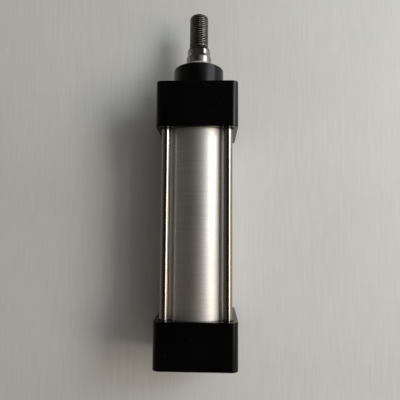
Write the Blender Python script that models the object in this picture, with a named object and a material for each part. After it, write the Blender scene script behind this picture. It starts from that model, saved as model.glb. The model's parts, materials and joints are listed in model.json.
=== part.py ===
"""Double-acting pneumatic cylinder, 40 mm bore, 75 mm stroke, held together by four tie rods.

The cylinder lies along X. The rear cap's end face is at x = 0 with the axis through the origin,
the rod comes out towards +X, and +Z is up. Dimensions are given in millimetres and built in metres.
"""
import math

import bmesh
import bpy
from mathutils import Matrix, Vector

MM = 0.001

# Overall sizes
BORE_RADIUS = 20.0
STROKE = 75.0
BODY_LENGTH = 168.0
CAP_SIDE = 49.0
CAP_LENGTH = 27.5
CAP_CORNER_RADIUS = 4.0
CAP_EDGE_CHAMFER = 0.4
TIE_ROD_PITCH = 37.0
FIT_GAP = 0.3
RUNNING_GAP = 0.1
END_CLEARANCE = 0.5
CUT_BEYOND = 1.0

# Tube
TUBE_OUTER_RADIUS = 22.0
TUBE_POCKET_DEPTH = 3.0

# Caps, measured inwards from the outer end face
BOSS_RADIUS = 16.0
BOSS_LENGTH = 15.0
BOSS_CHAMFER = 0.6
SPIGOT_RADIUS = 19.6
SPIGOT_LENGTH = 8.0
CORE_START = 15.0
CHAMBER_RADIUS = 13.0
CHAMBER_START = 8.0
CUSHION_SEAL_GROOVE = (31.0, 34.5)
CUSHION_SEAL_GROOVE_RADIUS = 15.0
TUBE_RING_GROOVE = (31.1, 33.5)
TUBE_RING_GROOVE_RADIUS = 17.9
BUSH_SEAT_RADIUS = 10.0
PACKING_SEAT_RADIUS = 12.0
PACKING_SEAT = (-13.0, -5.0)
PACKING_LIP_RADIUS = 10.6

# Air ports and cushion needles, on the side face
PORT_OFFSET = 13.75
PORT_HEIGHT = -4.5
PORT_RADIUS = 6.5
PORT_DEPTH = 10.0
PORT_PASSAGE_RADIUS = 4.0
PORT_PASSAGE_DEPTH = 13.5
NEEDLE_HEIGHT = 8.5
NEEDLE_BORE_RADIUS = 3.3
NEEDLE_THREAD_BORE_RADIUS = 2.6
NEEDLE_SEAT_RADIUS = 1.3
NEEDLE_TOP = 3.0
NEEDLE_HEAD_RADIUS = 3.0
NEEDLE_SLOT_WIDTH = 0.9
NEEDLE_SLOT_DEPTH = 0.8
NEEDLE_SHANK_RADIUS = 2.3
NEEDLE_NECK_RADIUS = 2.2
NEEDLE_TIP_RADIUS = 0.6
NEEDLE_BORE_END = 7.0
NEEDLE_THREAD_BORE_END = 11.0
NEEDLE_SEAT_END = 16.5
RETAINER_GROOVE = (0.7, 1.7)
RETAINER_GROOVE_RADIUS = 4.0
RETAINER_BORE_RADIUS = 2.4

# Tie rods and their long nuts
TIE_ROD_RADIUS = 2.65
TIE_ROD_THREAD_RADIUS = 2.95
TIE_ROD_END = 11.2
TIE_ROD_THREAD_END = 25.5
TIE_ROD_HOLE_RADIUS = 3.3
NUT_POCKET_RADIUS = 4.9
NUT_POCKET_DEPTH = 18.0
NUT_CORNER_RADIUS = 4.6
NUT_FACE = 0.8
NUT_MOUTH_RADIUS = 2.6
NUT_ROD_BORE_START = 10.6
END_CHAMFER = 0.5

# Piston and rod; the piston is as long as the stroke leaves room for between the two spigots
PISTON_START = CAP_LENGTH + SPIGOT_LENGTH + END_CLEARANCE
PISTON_LENGTH = BODY_LENGTH - 2.0 * PISTON_START - STROKE
PISTON_EDGE_CHAMFER = 0.8
PISTON_RADIUS = 19.5
PISTON_BORE_RADIUS = 6.2
REAR_SEAL_GROOVE = (38.0, 42.5)
WEAR_GROOVE = (44.0, 49.5)
FRONT_SEAL_GROOVE = (51.0, 55.5)
SEAL_GROOVE_RADIUS = 15.5
WEAR_GROOVE_RADIUS = 17.8
INNER_RING_GROOVE = (46.0, 48.0)
INNER_RING_GROOVE_RADIUS = 7.6
ROD_RADIUS = 8.0
ROD_TAIL_RADIUS = 5.9
ROD_TAIL_START = 10.5
LIP_GAP = 0.25
LIP_NOTCH_DEPTH = 1.6
LIP_THICKNESS = 0.7
SLEEVE_RADIUS = 11.0
SLEEVE_TAPER_LENGTH = 2.0
SLEEVE_TAPER = 0.9
FRONT_SLEEVE_LENGTH = 18.0
REAR_SLEEVE_START = 20.0
LOCK_NUT_START = 12.2
LOCK_NUT_RADIUS = 10.4
PACKING_REACH = 3.6

# Rod end beyond the front cap's face
SHOULDER_START = 23.0
FLAT_START = 23.4
NECK_START = 25.2
NECK_END = 28.0
NECK_TAPER_MIDDLE = 29.4
THREAD_START = 30.4
ROD_TIP = 51.6
NECK_RADIUS = 7.3
NECK_TAPER_RADIUS = 6.75
SHOULDER_RADIUS = 7.8
ACROSS_FLATS = 13.0
FLAT_TURN = math.radians(1.0)
THREAD_RADIUS = 6.0
THREAD_DEPTH = 0.72
THREAD_PITCH = 1.25
THREAD_SAMPLES = 3
THREAD_RUNOUT = 1.25
TIP_CHAMFER = 1.1

# Facets around each round
TUBE_SIDES = 36
ROUND_SIDES = 24
ROD_SIDES = 36
THREAD_SIDES = 18
PORT_SIDES = 16
SMALL_SIDES = 12

SMOOTH_ANGLE = math.radians(35.0)

FINISHES = {
    "black_anodised": ((0.012, 0.012, 0.013), 0.6, 0.32),
    "satin_aluminium": ((0.72, 0.71, 0.69), 1.0, 0.36),
    "machined_aluminium": ((0.66, 0.67, 0.69), 1.0, 0.30),
    "chrome": ((0.78, 0.78, 0.79), 1.0, 0.12),
    "zinc_steel": ((0.60, 0.60, 0.58), 1.0, 0.30),
    "dark_steel": ((0.13, 0.11, 0.10), 1.0, 0.38),
    "bronze": ((0.46, 0.31, 0.16), 1.0, 0.36),
    "brass": ((0.72, 0.52, 0.22), 1.0, 0.30),
    "black_rubber": ((0.02, 0.02, 0.02), 0.0, 0.70),
    "pale_polyurethane": ((0.62, 0.60, 0.53), 0.0, 0.45),
    "dark_nylon": ((0.05, 0.05, 0.055), 0.0, 0.50),
}

TURN_ROUND = Matrix.Rotation(math.pi, 4, "Z")


def clear_scene():
    """Remove every object the file opens with."""
    for item in list(bpy.data.objects):
        bpy.data.objects.remove(item, do_unlink=True)


def finish_material(finish):
    """Return the shared material for a finish, making it on first use."""
    material = bpy.data.materials.get(finish)
    if material is None:
        colour, metallic, roughness = FINISHES[finish]
        material = bpy.data.materials.new(finish)
        material.use_nodes = True
        shader = material.node_tree.nodes["Principled BSDF"]
        shader.inputs["Base Color"].default_value = (*colour, 1.0)
        shader.inputs["Metallic"].default_value = metallic
        shader.inputs["Roughness"].default_value = roughness
    return material


def new_object(name, mesh):
    """Link a mesh into the scene under its own name."""
    item = bpy.data.objects.new(name, mesh)
    bpy.context.scene.collection.objects.link(item)
    return item


def mesh_from(name, points, faces):
    """Build a closed mesh, in metres, with its faces turned outwards."""
    mesh = bpy.data.meshes.new(name)
    body = bmesh.new()
    corners = [body.verts.new(Vector(point) * MM) for point in points]
    for face in faces:
        body.faces.new([corners[index] for index in face])
    bmesh.ops.recalc_face_normals(body, faces=body.faces)
    body.to_mesh(mesh)
    body.free()
    return mesh


def ring_points(x, radius, sides, phase=0.0, shape=None):
    """Points of one ring round the X axis; shape may change the radius by angle."""
    points = []
    for index in range(sides):
        angle = phase + 2.0 * math.pi * index / sides
        reach = shape(x, radius, angle) if shape else radius
        points.append((x, reach * math.cos(angle), reach * math.sin(angle)))
    return points


def join_rings(low, high):
    """Faces between two rings of point indices, where one may have half the points or be a centre."""
    faces = []
    count = max(len(low), len(high))
    for index in range(count):
        following = (index + 1) % count
        if len(low) == len(high):
            faces.append((low[index], low[following], high[following], high[index]))
        elif len(low) == 1 or len(high) == 1:
            tip, rim = (low, high) if len(low) == 1 else (high, low)
            faces.append((tip[0], rim[index], rim[following]))
        elif index % 2 == 0:
            fine, coarse = (low, high) if len(low) > len(high) else (high, low)
            here = index // 2
            beyond = (here + 1) % len(coarse)
            last = (index + 2) % len(fine)
            faces.append((coarse[here], fine[index], fine[following]))
            faces.append((coarse[here], fine[following], coarse[beyond]))
            faces.append((coarse[beyond], fine[following], fine[last]))
    return faces


def loft(name, rings, closed):
    """Mesh through a run of rings; a closed run meets itself and makes a hollow ring."""
    points = []
    indices = []
    for ring in rings:
        indices.append(list(range(len(points), len(points) + len(ring))))
        points.extend(ring)
    faces = []
    pairs = list(zip(indices, indices[1:]))
    if closed:
        pairs.append((indices[-1], indices[0]))
    for low, high in pairs:
        faces.extend(join_rings(low, high))
    return mesh_from(name, points, faces)


def turned_mesh(name, profile, sides, phase=0.0, shape=None):
    """Mesh turned round the X axis from (x, radius) pairs; a profile off the axis closes on itself."""
    rings = []
    for x, radius in profile:
        if radius == 0.0:
            rings.append([(x, 0.0, 0.0)])
        else:
            rings.append(ring_points(x, radius, sides, phase, shape))
    return loft(name, rings, closed=profile[0][1] != 0.0)


def turned(name, profile, sides, finish, phase=0.0, shape=None):
    """A turned piece with its own finish and smooth round faces."""
    item = new_object(name, turned_mesh(name, profile, sides, phase, shape))
    return dress(item, finish)


def dress(item, finish):
    """Give a piece its finish and shade its rounds smooth."""
    item.data.materials.clear()
    item.data.materials.append(finish_material(finish))
    item.data.shade_smooth()
    item.data.set_sharp_from_angle(angle=SMOOTH_ANGLE)
    return item


def tube_profile(start, end, inner, outer):
    """Closed profile of a plain ring."""
    return [(start, inner), (start, outer), (end, outer), (end, inner)]


def cord_profile(centre, start_radius, end_radius, length, points=6):
    """Rounded closed section for a sealing ring lying between two radii."""
    middle = 0.5 * (start_radius + end_radius)
    half_height = 0.5 * (end_radius - start_radius)
    section = []
    for index in range(points):
        angle = 2.0 * math.pi * (index + 0.5) / points
        stretch = 1.0 / math.cos(math.pi / points)
        along = 0.5 * length * stretch * math.cos(angle)
        section.append((centre + max(-0.5 * length, min(0.5 * length, along)),
                        middle + half_height * stretch * math.sin(angle)))
    low = min(radius for _, radius in section)
    high = max(radius for _, radius in section)
    scale = (end_radius - start_radius) / (high - low)
    return [(x, middle + (radius - middle) * scale) for x, radius in section]


def solid(profile):
    """Close a run of (x, radius) pairs onto the axis at both ends."""
    return [(profile[0][0], 0.0), *profile, (profile[-1][0], 0.0)]


def apply_cut(item, cutter, operation):
    """Combine a piece with a working shape by an exact Boolean, then drop the working shape."""
    cutter.display_type = "WIRE"
    cutter.hide_render = True
    step = item.modifiers.new(operation.lower(), "BOOLEAN")
    step.object = cutter
    step.operation = operation
    step.solver = "EXACT"
    graph = bpy.context.evaluated_depsgraph_get()
    result = bpy.data.meshes.new_from_object(item.evaluated_get(graph))
    item.modifiers.clear()
    item.data = result
    bpy.data.objects.remove(cutter, do_unlink=True)


def working_shape(profile, sides, placement=None):
    """A turned shape used only to cut or build up another piece."""
    item = new_object("working_shape", turned_mesh("working_shape", profile, sides))
    if placement is not None:
        item.data.transform(placement)
    return item


def rounded_square(x, side, radius, steps=4):
    """Outline of a square across the X axis with rounded corners."""
    reach = 0.5 * side - radius
    points = []
    for corner in range(4):
        centre_angle = math.radians(45.0 + 90.0 * corner)
        centre_y = math.copysign(reach, math.cos(centre_angle))
        centre_z = math.copysign(reach, math.sin(centre_angle))
        for step in range(steps + 1):
            angle = math.radians(90.0 * corner + 90.0 * step / steps)
            points.append((x, centre_y + radius * math.cos(angle), centre_z + radius * math.sin(angle)))
    return points


def cap_block(name):
    """Square block with rounded corners and lightly broken end edges, from x = 0 inwards."""
    inset = CAP_SIDE - 2.0 * CAP_EDGE_CHAMFER
    inset_radius = CAP_CORNER_RADIUS - CAP_EDGE_CHAMFER
    rings = [
        rounded_square(0.0, inset, inset_radius),
        rounded_square(CAP_EDGE_CHAMFER, CAP_SIDE, CAP_CORNER_RADIUS),
        rounded_square(CAP_LENGTH - CAP_EDGE_CHAMFER, CAP_SIDE, CAP_CORNER_RADIUS),
        rounded_square(CAP_LENGTH, inset, inset_radius),
    ]
    points = [point for ring in rings for point in ring]
    count = len(rings[0])
    indices = [list(range(level * count, (level + 1) * count)) for level in range(len(rings))]
    faces = [tuple(indices[0]), tuple(indices[-1])]
    for low, high in zip(indices, indices[1:]):
        faces.extend(join_rings(low, high))
    return new_object(name, mesh_from(name, points, faces))


def side_placement(side, offset, height):
    """Place a shape turned round X so that it runs in from the cap's side face at y = side."""
    turn = Matrix.Rotation(math.radians(-90.0 * side), 4, "Z")
    start = Vector((offset, side * 0.5 * CAP_SIDE, height)) * MM
    return Matrix.Translation(start) @ turn


def port_profile():
    """Threaded port and its narrower passage, from outside the side face inwards."""
    return solid([
        (-CUT_BEYOND, PORT_RADIUS), (PORT_DEPTH, PORT_RADIUS),
        (PORT_DEPTH, PORT_PASSAGE_RADIUS), (PORT_PASSAGE_DEPTH, PORT_PASSAGE_RADIUS),
    ])


def needle_bore_profile():
    """Cushion needle bore with its retaining ring groove, thread and seat."""
    groove_start, groove_end = RETAINER_GROOVE
    return solid([
        (-CUT_BEYOND, NEEDLE_BORE_RADIUS), (groove_start, NEEDLE_BORE_RADIUS),
        (groove_start, RETAINER_GROOVE_RADIUS), (groove_end, RETAINER_GROOVE_RADIUS),
        (groove_end, NEEDLE_BORE_RADIUS), (NEEDLE_BORE_END, NEEDLE_BORE_RADIUS),
        (NEEDLE_BORE_END, NEEDLE_THREAD_BORE_RADIUS), (NEEDLE_THREAD_BORE_END, NEEDLE_THREAD_BORE_RADIUS),
        (NEEDLE_THREAD_BORE_END, NEEDLE_SEAT_RADIUS), (NEEDLE_SEAT_END, NEEDLE_SEAT_RADIUS),
    ])


def cushion_chamber_profile():
    """Cushion chamber running to the spigot's mouth, with its seal groove."""
    mouth = CAP_LENGTH + SPIGOT_LENGTH
    groove_start, groove_end = CUSHION_SEAL_GROOVE
    return [
        (CHAMBER_START, CHAMBER_RADIUS), (groove_start, CHAMBER_RADIUS),
        (groove_start, CUSHION_SEAL_GROOVE_RADIUS), (groove_end, CUSHION_SEAL_GROOVE_RADIUS),
        (groove_end, CHAMBER_RADIUS), (mouth + CUT_BEYOND, CHAMBER_RADIUS),
    ]


def core_profile(front):
    """Spigot with its ring groove, and on the front cap the round boss."""
    end = CAP_LENGTH + SPIGOT_LENGTH
    groove_start, groove_end = TUBE_RING_GROOVE
    spigot = [
        (groove_start, SPIGOT_RADIUS), (groove_start, TUBE_RING_GROOVE_RADIUS),
        (groove_end, TUBE_RING_GROOVE_RADIUS), (groove_end, SPIGOT_RADIUS),
        (end - BOSS_CHAMFER, SPIGOT_RADIUS), (end, SPIGOT_RADIUS - BOSS_CHAMFER),
    ]
    if not front:
        return solid([(CORE_START, SPIGOT_RADIUS), *spigot])
    return solid([
        (-BOSS_LENGTH, BOSS_RADIUS - BOSS_CHAMFER), (-BOSS_LENGTH + BOSS_CHAMFER, BOSS_RADIUS),
        (CORE_START, BOSS_RADIUS), (CORE_START, SPIGOT_RADIUS), *spigot,
    ])


def corner_holes():
    """Four stepped holes for the tie rods and their nuts, as one working shape."""
    item = new_object("working_shape", bpy.data.meshes.new("working_shape"))
    body = bmesh.new()
    profile = solid([
        (-CUT_BEYOND, NUT_POCKET_RADIUS), (NUT_POCKET_DEPTH, NUT_POCKET_RADIUS),
        (NUT_POCKET_DEPTH, TIE_ROD_HOLE_RADIUS), (CAP_LENGTH + CUT_BEYOND, TIE_ROD_HOLE_RADIUS),
    ])
    for centre in corner_centres():
        hole = turned_mesh("hole", profile, SMALL_SIDES)
        hole.transform(Matrix.Translation(Vector((0.0, *centre)) * MM))
        body.from_mesh(hole)
        bpy.data.meshes.remove(hole)
    body.to_mesh(item.data)
    body.free()
    return item


def corner_centres():
    """Tie rod positions across the axis, as (y, z) pairs."""
    reach = 0.5 * TIE_ROD_PITCH
    return [(-reach, reach), (reach, reach), (reach, -reach), (-reach, -reach)]


def make_cap(name, front):
    """A cap built from its outer face at x = 0; the front cap is turned round to the rod end."""
    side = 1.0 if front else -1.0
    cap = cap_block(name)
    pocket = tube_pocket_profile()
    apply_cut(cap, working_shape(pocket, TUBE_SIDES), "DIFFERENCE")
    apply_cut(cap, working_shape(core_profile(front), TUBE_SIDES), "UNION")
    if front:
        nose = [
            (-BOSS_LENGTH - CUT_BEYOND, PACKING_LIP_RADIUS), (PACKING_SEAT[0], PACKING_LIP_RADIUS),
            (PACKING_SEAT[0], PACKING_SEAT_RADIUS), (PACKING_SEAT[1], PACKING_SEAT_RADIUS),
            (PACKING_SEAT[1], BUSH_SEAT_RADIUS), (CHAMBER_START, BUSH_SEAT_RADIUS),
        ]
        bore = solid([*nose, *cushion_chamber_profile()])
    else:
        bore = solid(cushion_chamber_profile())
    apply_cut(cap, working_shape(bore, ROUND_SIDES), "DIFFERENCE")
    apply_cut(cap, corner_holes(), "DIFFERENCE")
    port = side_placement(side, PORT_OFFSET, PORT_HEIGHT)
    apply_cut(cap, working_shape(port_profile(), PORT_SIDES, port), "DIFFERENCE")
    needle = side_placement(side, PORT_OFFSET, NEEDLE_HEIGHT)
    apply_cut(cap, working_shape(needle_bore_profile(), SMALL_SIDES, needle), "DIFFERENCE")
    if front:
        place = Matrix.Translation(Vector((BODY_LENGTH, 0.0, 0.0)) * MM) @ TURN_ROUND
        cap.data.transform(place)
    return dress(cap, "black_anodised")


def tube_pocket_profile():
    """Round pocket in the cap's inner face that takes the end of the tube."""
    radius = TUBE_OUTER_RADIUS + FIT_GAP
    return solid([(CAP_LENGTH - TUBE_POCKET_DEPTH, radius), (CAP_LENGTH + CUT_BEYOND, radius)])


def make_tube():
    """Barrel between the two caps, its ends seated in their pockets."""
    start = CAP_LENGTH - TUBE_POCKET_DEPTH + FIT_GAP
    profile = tube_profile(start, BODY_LENGTH - start, BORE_RADIUS, TUBE_OUTER_RADIUS)
    return turned("barrel_tube", profile, TUBE_SIDES, "satin_aluminium")


def make_tie_rods():
    """Four tie rods with a thread at each end."""
    profile = solid([
        (TIE_ROD_END, TIE_ROD_THREAD_RADIUS - END_CHAMFER),
        (TIE_ROD_END + END_CHAMFER, TIE_ROD_THREAD_RADIUS),
        (TIE_ROD_THREAD_END, TIE_ROD_THREAD_RADIUS),
        (TIE_ROD_THREAD_END + END_CHAMFER, TIE_ROD_RADIUS),
        (BODY_LENGTH - TIE_ROD_THREAD_END - END_CHAMFER, TIE_ROD_RADIUS),
        (BODY_LENGTH - TIE_ROD_THREAD_END, TIE_ROD_THREAD_RADIUS),
        (BODY_LENGTH - TIE_ROD_END - END_CHAMFER, TIE_ROD_THREAD_RADIUS),
        (BODY_LENGTH - TIE_ROD_END, TIE_ROD_THREAD_RADIUS - END_CHAMFER),
    ])
    for number, (y, z) in enumerate(corner_centres(), start=1):
        rod = turned(f"tie_rod_{number}", profile, SMALL_SIDES, "chrome")
        rod.location = Vector((0.0, y, z)) * MM


def hexagon(x, radius, angle):
    """Reach of a hexagon whose corners lie at the given radius."""
    across = radius * math.cos(math.pi / 6.0)
    turn = (angle + math.pi / 6.0) % (math.pi / 3.0) - math.pi / 6.0
    return across / math.cos(turn - math.copysign(math.pi / 6.0, turn))


def make_nut(name, profile, sides, corner_radius, finish):
    """A hexagonal nut; only the outermost radius is drawn as a hexagon."""
    def shape(x, radius, angle):
        return hexagon(x, radius, angle) if radius >= corner_radius else radius
    return turned(name, profile, sides, finish, shape=shape)


def make_tie_rod_nuts():
    """Eight long nuts, whose outer half is left free as a mounting thread."""
    end = NUT_POCKET_DEPTH - FIT_GAP
    profile = [
        (NUT_FACE, NUT_MOUTH_RADIUS + 0.4), (NUT_FACE, NUT_CORNER_RADIUS),
        (end, NUT_CORNER_RADIUS), (end, TIE_ROD_HOLE_RADIUS),
        (NUT_ROD_BORE_START, TIE_ROD_HOLE_RADIUS), (NUT_ROD_BORE_START, NUT_MOUTH_RADIUS),
        (NUT_FACE + 0.4, NUT_MOUTH_RADIUS),
    ]
    for end_name, front in (("front", True), ("rear", False)):
        for number, (y, z) in enumerate(corner_centres(), start=1):
            name = f"tie_rod_nut_{end_name}_{number}"
            nut = make_nut(name, profile, SMALL_SIDES, NUT_CORNER_RADIUS, "zinc_steel")
            if front:
                nut.data.transform(TURN_ROUND)
            nut.location = Vector((BODY_LENGTH if front else 0.0, y, z)) * MM


def thread_radius(x, radius, angle):
    """Radius of the right-hand rod thread, fading out at the neck and following the tip chamfer."""
    start = BODY_LENGTH + THREAD_START
    tip = BODY_LENGTH + ROD_TIP
    phase = ((x - start) / THREAD_PITCH - angle / (2.0 * math.pi)) % 1.0
    depth = THREAD_DEPTH * (1.0 - abs(2.0 * phase - 1.0))
    fade = min(1.0, max(0.0, (x - start) / THREAD_RUNOUT))
    chamfered = radius - max(0.0, x - (tip - TIP_CHAMFER))
    return min(radius - depth * fade, chamfered)


def make_piston_rod():
    """Rod with its stepped tail, running length, wrench flats and threaded end."""
    face = BODY_LENGTH
    tail_end = PISTON_START + PISTON_LENGTH + FRONT_SLEEVE_LENGTH + 2.0 * FIT_GAP
    start_angle = math.radians(90.0) - FLAT_TURN

    def flats(x, radius, angle):
        if x <= face + SHOULDER_START:
            return radius
        across = abs(math.cos(angle - start_angle))
        return radius if across == 0.0 else min(radius, 0.5 * ACROSS_FLATS / across)

    profile = [
        (ROD_TAIL_START, ROD_TAIL_RADIUS - END_CHAMFER), (ROD_TAIL_START + END_CHAMFER, ROD_TAIL_RADIUS),
        (tail_end, ROD_TAIL_RADIUS), (tail_end, ROD_RADIUS),
        (face + SHOULDER_START, ROD_RADIUS),
        (face + FLAT_START, SHOULDER_RADIUS), (face + NECK_START, NECK_RADIUS),
        (face + NECK_END, NECK_RADIUS), (face + NECK_TAPER_MIDDLE, NECK_TAPER_RADIUS),
        (face + THREAD_START, THREAD_RADIUS),
    ]
    rings = [[(profile[0][0], 0.0, 0.0)]]
    for x, radius in profile:
        rings.append(ring_points(x, radius, ROD_SIDES, start_angle, flats))
    step = THREAD_PITCH / THREAD_SAMPLES
    count = int((ROD_TIP - THREAD_START) / step)
    for index in range(1, count):
        x = face + THREAD_START + index * step
        rings.append(ring_points(x, THREAD_RADIUS, THREAD_SIDES, start_angle, thread_radius))
    rings.append(ring_points(face + ROD_TIP, THREAD_RADIUS, THREAD_SIDES, start_angle, thread_radius))
    rings.append([(face + ROD_TIP, 0.0, 0.0)])
    rod = new_object("piston_rod", loft("piston_rod", rings, closed=False))
    return dress(rod, "chrome")


def make_piston():
    """Piston with two lip seals, a wear ring between them and a ring sealing it to the rod."""
    start = PISTON_START
    end = PISTON_START + PISTON_LENGTH
    inner_start, inner_end = INNER_RING_GROOVE
    outline = [(start, PISTON_RADIUS - PISTON_EDGE_CHAMFER), (start + PISTON_EDGE_CHAMFER, PISTON_RADIUS)]
    grooves = (
        (REAR_SEAL_GROOVE, SEAL_GROOVE_RADIUS),
        (WEAR_GROOVE, WEAR_GROOVE_RADIUS),
        (FRONT_SEAL_GROOVE, SEAL_GROOVE_RADIUS),
    )
    for (groove_start, groove_end), radius in grooves:
        outline += [
            (groove_start, PISTON_RADIUS), (groove_start, radius),
            (groove_end, radius), (groove_end, PISTON_RADIUS),
        ]
    outline += [
        (end - PISTON_EDGE_CHAMFER, PISTON_RADIUS), (end, PISTON_RADIUS - PISTON_EDGE_CHAMFER),
        (end, PISTON_BORE_RADIUS),
        (inner_end, PISTON_BORE_RADIUS), (inner_end, INNER_RING_GROOVE_RADIUS),
        (inner_start, INNER_RING_GROOVE_RADIUS), (inner_start, PISTON_BORE_RADIUS),
        (start, PISTON_BORE_RADIUS),
    ]
    turned("piston", outline, ROUND_SIDES, "machined_aluminium")
    turned("piston_seal_rear", lip_seal_profile(REAR_SEAL_GROOVE, -1.0), ROUND_SIDES, "black_rubber")
    turned("piston_seal_front", lip_seal_profile(FRONT_SEAL_GROOVE, 1.0), ROUND_SIDES, "black_rubber")
    wear = tube_profile(WEAR_GROOVE[0] + FIT_GAP, WEAR_GROOVE[1] - FIT_GAP,
                        WEAR_GROOVE_RADIUS + FIT_GAP, BORE_RADIUS - 0.2)
    turned("piston_wear_ring", wear, ROUND_SIDES, "dark_nylon")
    inner = cord_profile(0.5 * (inner_start + inner_end), ROD_TAIL_RADIUS + 0.25,
                         INNER_RING_GROOVE_RADIUS - FIT_GAP, 1.3)
    turned("piston_o_ring", inner, PORT_SIDES, "black_rubber")


def lip_seal_profile(groove, towards):
    """Lip seal filling its groove, the notch between its lips facing the given way along X."""
    low, high = groove[0] + FIT_GAP, groove[1] - FIT_GAP
    inner = SEAL_GROOVE_RADIUS + FIT_GAP
    outer = BORE_RADIUS - LIP_GAP
    middle = 0.5 * (inner + outer)
    back, mouth = (low, high) if towards > 0.0 else (high, low)
    notch = mouth - towards * LIP_NOTCH_DEPTH
    return [
        (back, inner + 0.3), (back, outer - 0.5), (mouth, outer),
        (mouth, outer - LIP_THICKNESS), (notch, middle), (mouth, inner + LIP_THICKNESS), (mouth, inner),
    ]


def make_cushion_pieces():
    """Cushion sleeves either side of the piston, the lock nut and the cap's cushion seals."""
    front_start = PISTON_START + PISTON_LENGTH + FIT_GAP
    bore = ROD_TAIL_RADIUS + FIT_GAP
    front_end = front_start + FRONT_SLEEVE_LENGTH
    front = [
        (front_start, bore), (front_start, SLEEVE_RADIUS),
        (front_end - SLEEVE_TAPER_LENGTH, SLEEVE_RADIUS),
        (front_end, SLEEVE_RADIUS - SLEEVE_TAPER), (front_end, bore),
    ]
    rear_end = PISTON_START - FIT_GAP
    rear = [
        (REAR_SLEEVE_START, bore), (REAR_SLEEVE_START, SLEEVE_RADIUS - SLEEVE_TAPER),
        (REAR_SLEEVE_START + SLEEVE_TAPER_LENGTH, SLEEVE_RADIUS), (rear_end, SLEEVE_RADIUS), (rear_end, bore),
    ]
    turned("front_cushion_sleeve", front, ROUND_SIDES, "zinc_steel")
    turned("rear_cushion_sleeve", rear, ROUND_SIDES, "zinc_steel")
    nut_end = REAR_SLEEVE_START - FIT_GAP
    nut = tube_profile(LOCK_NUT_START, nut_end, bore, LOCK_NUT_RADIUS)
    make_nut("piston_lock_nut", nut, SMALL_SIDES, LOCK_NUT_RADIUS, "zinc_steel")
    low, high = CUSHION_SEAL_GROOVE
    for name, front_cap in (("front_cushion_seal", True), ("rear_cushion_seal", False)):
        inner = SLEEVE_RADIUS + 0.35
        outer = CUSHION_SEAL_GROOVE_RADIUS - FIT_GAP
        section = [
            (low + FIT_GAP, inner + 0.6), (low + FIT_GAP, outer), (high - FIT_GAP, outer),
            (high - FIT_GAP, inner + 1.0), (high - 1.4, inner),
        ]
        turned(name, along_cap(section, front_cap), ROUND_SIDES, "black_rubber")


def along_cap(section, front):
    """Turn a section measured in from a cap's outer face into positions along the cylinder."""
    if not front:
        return section
    return [(BODY_LENGTH - x, radius) for x, radius in section]


def make_cap_fittings():
    """Guide bush, rod packing and the rings that seal the tube to the caps."""
    bush = tube_profile(PACKING_SEAT[1] + 0.6, CHAMBER_START - FIT_GAP,
                        ROD_RADIUS + RUNNING_GAP, BUSH_SEAT_RADIUS - FIT_GAP)
    turned("rod_guide_bush", along_cap(bush, True), ROUND_SIDES, "bronze")
    seat_start, seat_end = PACKING_SEAT
    inner = ROD_RADIUS + 0.2
    outer = PACKING_SEAT_RADIUS - FIT_GAP
    neck = PACKING_LIP_RADIUS - FIT_GAP
    lip_end = -BOSS_LENGTH - PACKING_REACH
    packing = [
        (seat_end - FIT_GAP, inner + 0.8), (seat_end - FIT_GAP, outer), (seat_start + FIT_GAP, outer),
        (seat_start + FIT_GAP, neck), (-BOSS_LENGTH - 0.6, neck), (lip_end, inner + 0.9),
        (lip_end, inner), (lip_end + 2.0, inner + 0.4), (seat_start + 2.0, inner + 0.4),
        (seat_end - 2.0, inner),
    ]
    turned("rod_packing", along_cap(packing, True), ROUND_SIDES, "pale_polyurethane")
    low, high = TUBE_RING_GROOVE
    for name, front in (("front_tube_o_ring", True), ("rear_tube_o_ring", False)):
        section = cord_profile(0.5 * (low + high), TUBE_RING_GROOVE_RADIUS + 0.25,
                               BORE_RADIUS - 0.3, 1.7)
        turned(name, along_cap(section, front), ROUND_SIDES, "black_rubber")


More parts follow.
